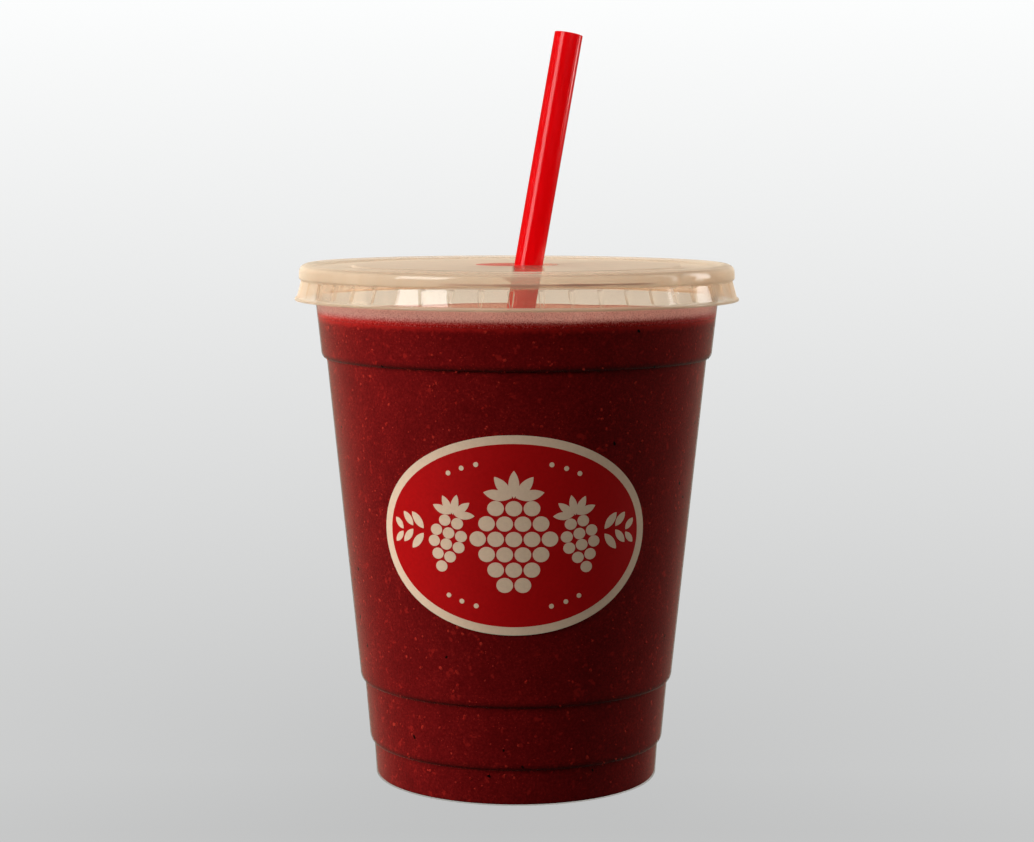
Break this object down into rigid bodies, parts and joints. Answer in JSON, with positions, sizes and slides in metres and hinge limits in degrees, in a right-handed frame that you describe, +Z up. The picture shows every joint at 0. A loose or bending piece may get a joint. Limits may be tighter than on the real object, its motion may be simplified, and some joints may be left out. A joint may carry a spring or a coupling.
{
  "type": "raspberry smoothie in a lidded cup",
  "caption": "Cold raspberry smoothie in a clear stepped take-away cup, with a flat clear lid, a leaning red straw and an oval label.",
  "frame": {"origin": "middle of the foot, on the surface the cup stands on", "axes": "+Z up; -Y is the side with the label; the straw leans to +X"},
  "size_m": [0.102, 0.102, 0.172],
  "materials": {
    "clear_cup": "clear, glossy, faintly warm",
    "raspberry_drink": "thick, wet, blended fruit with fine pulp",
    "clear_lid": "clear, glossy, warm beige tint",
    "red_straw": "glossy",
    "label_paper": "satin printed sticker, red field and cream border",
    "label_print": "satin cream print",
    "froth": "fine pink froth",
    "fruit_seed": "small dark seed",
    "fruit_pulp": "soft wet fruit fleck"
  },
  "bodies": {
    "root": {"cup": "clear_cup", "smoothie": "raspberry_drink", "lid": "clear_lid", "straw": "red_straw", "label": "label_paper"}
  },
  "joints": []
}
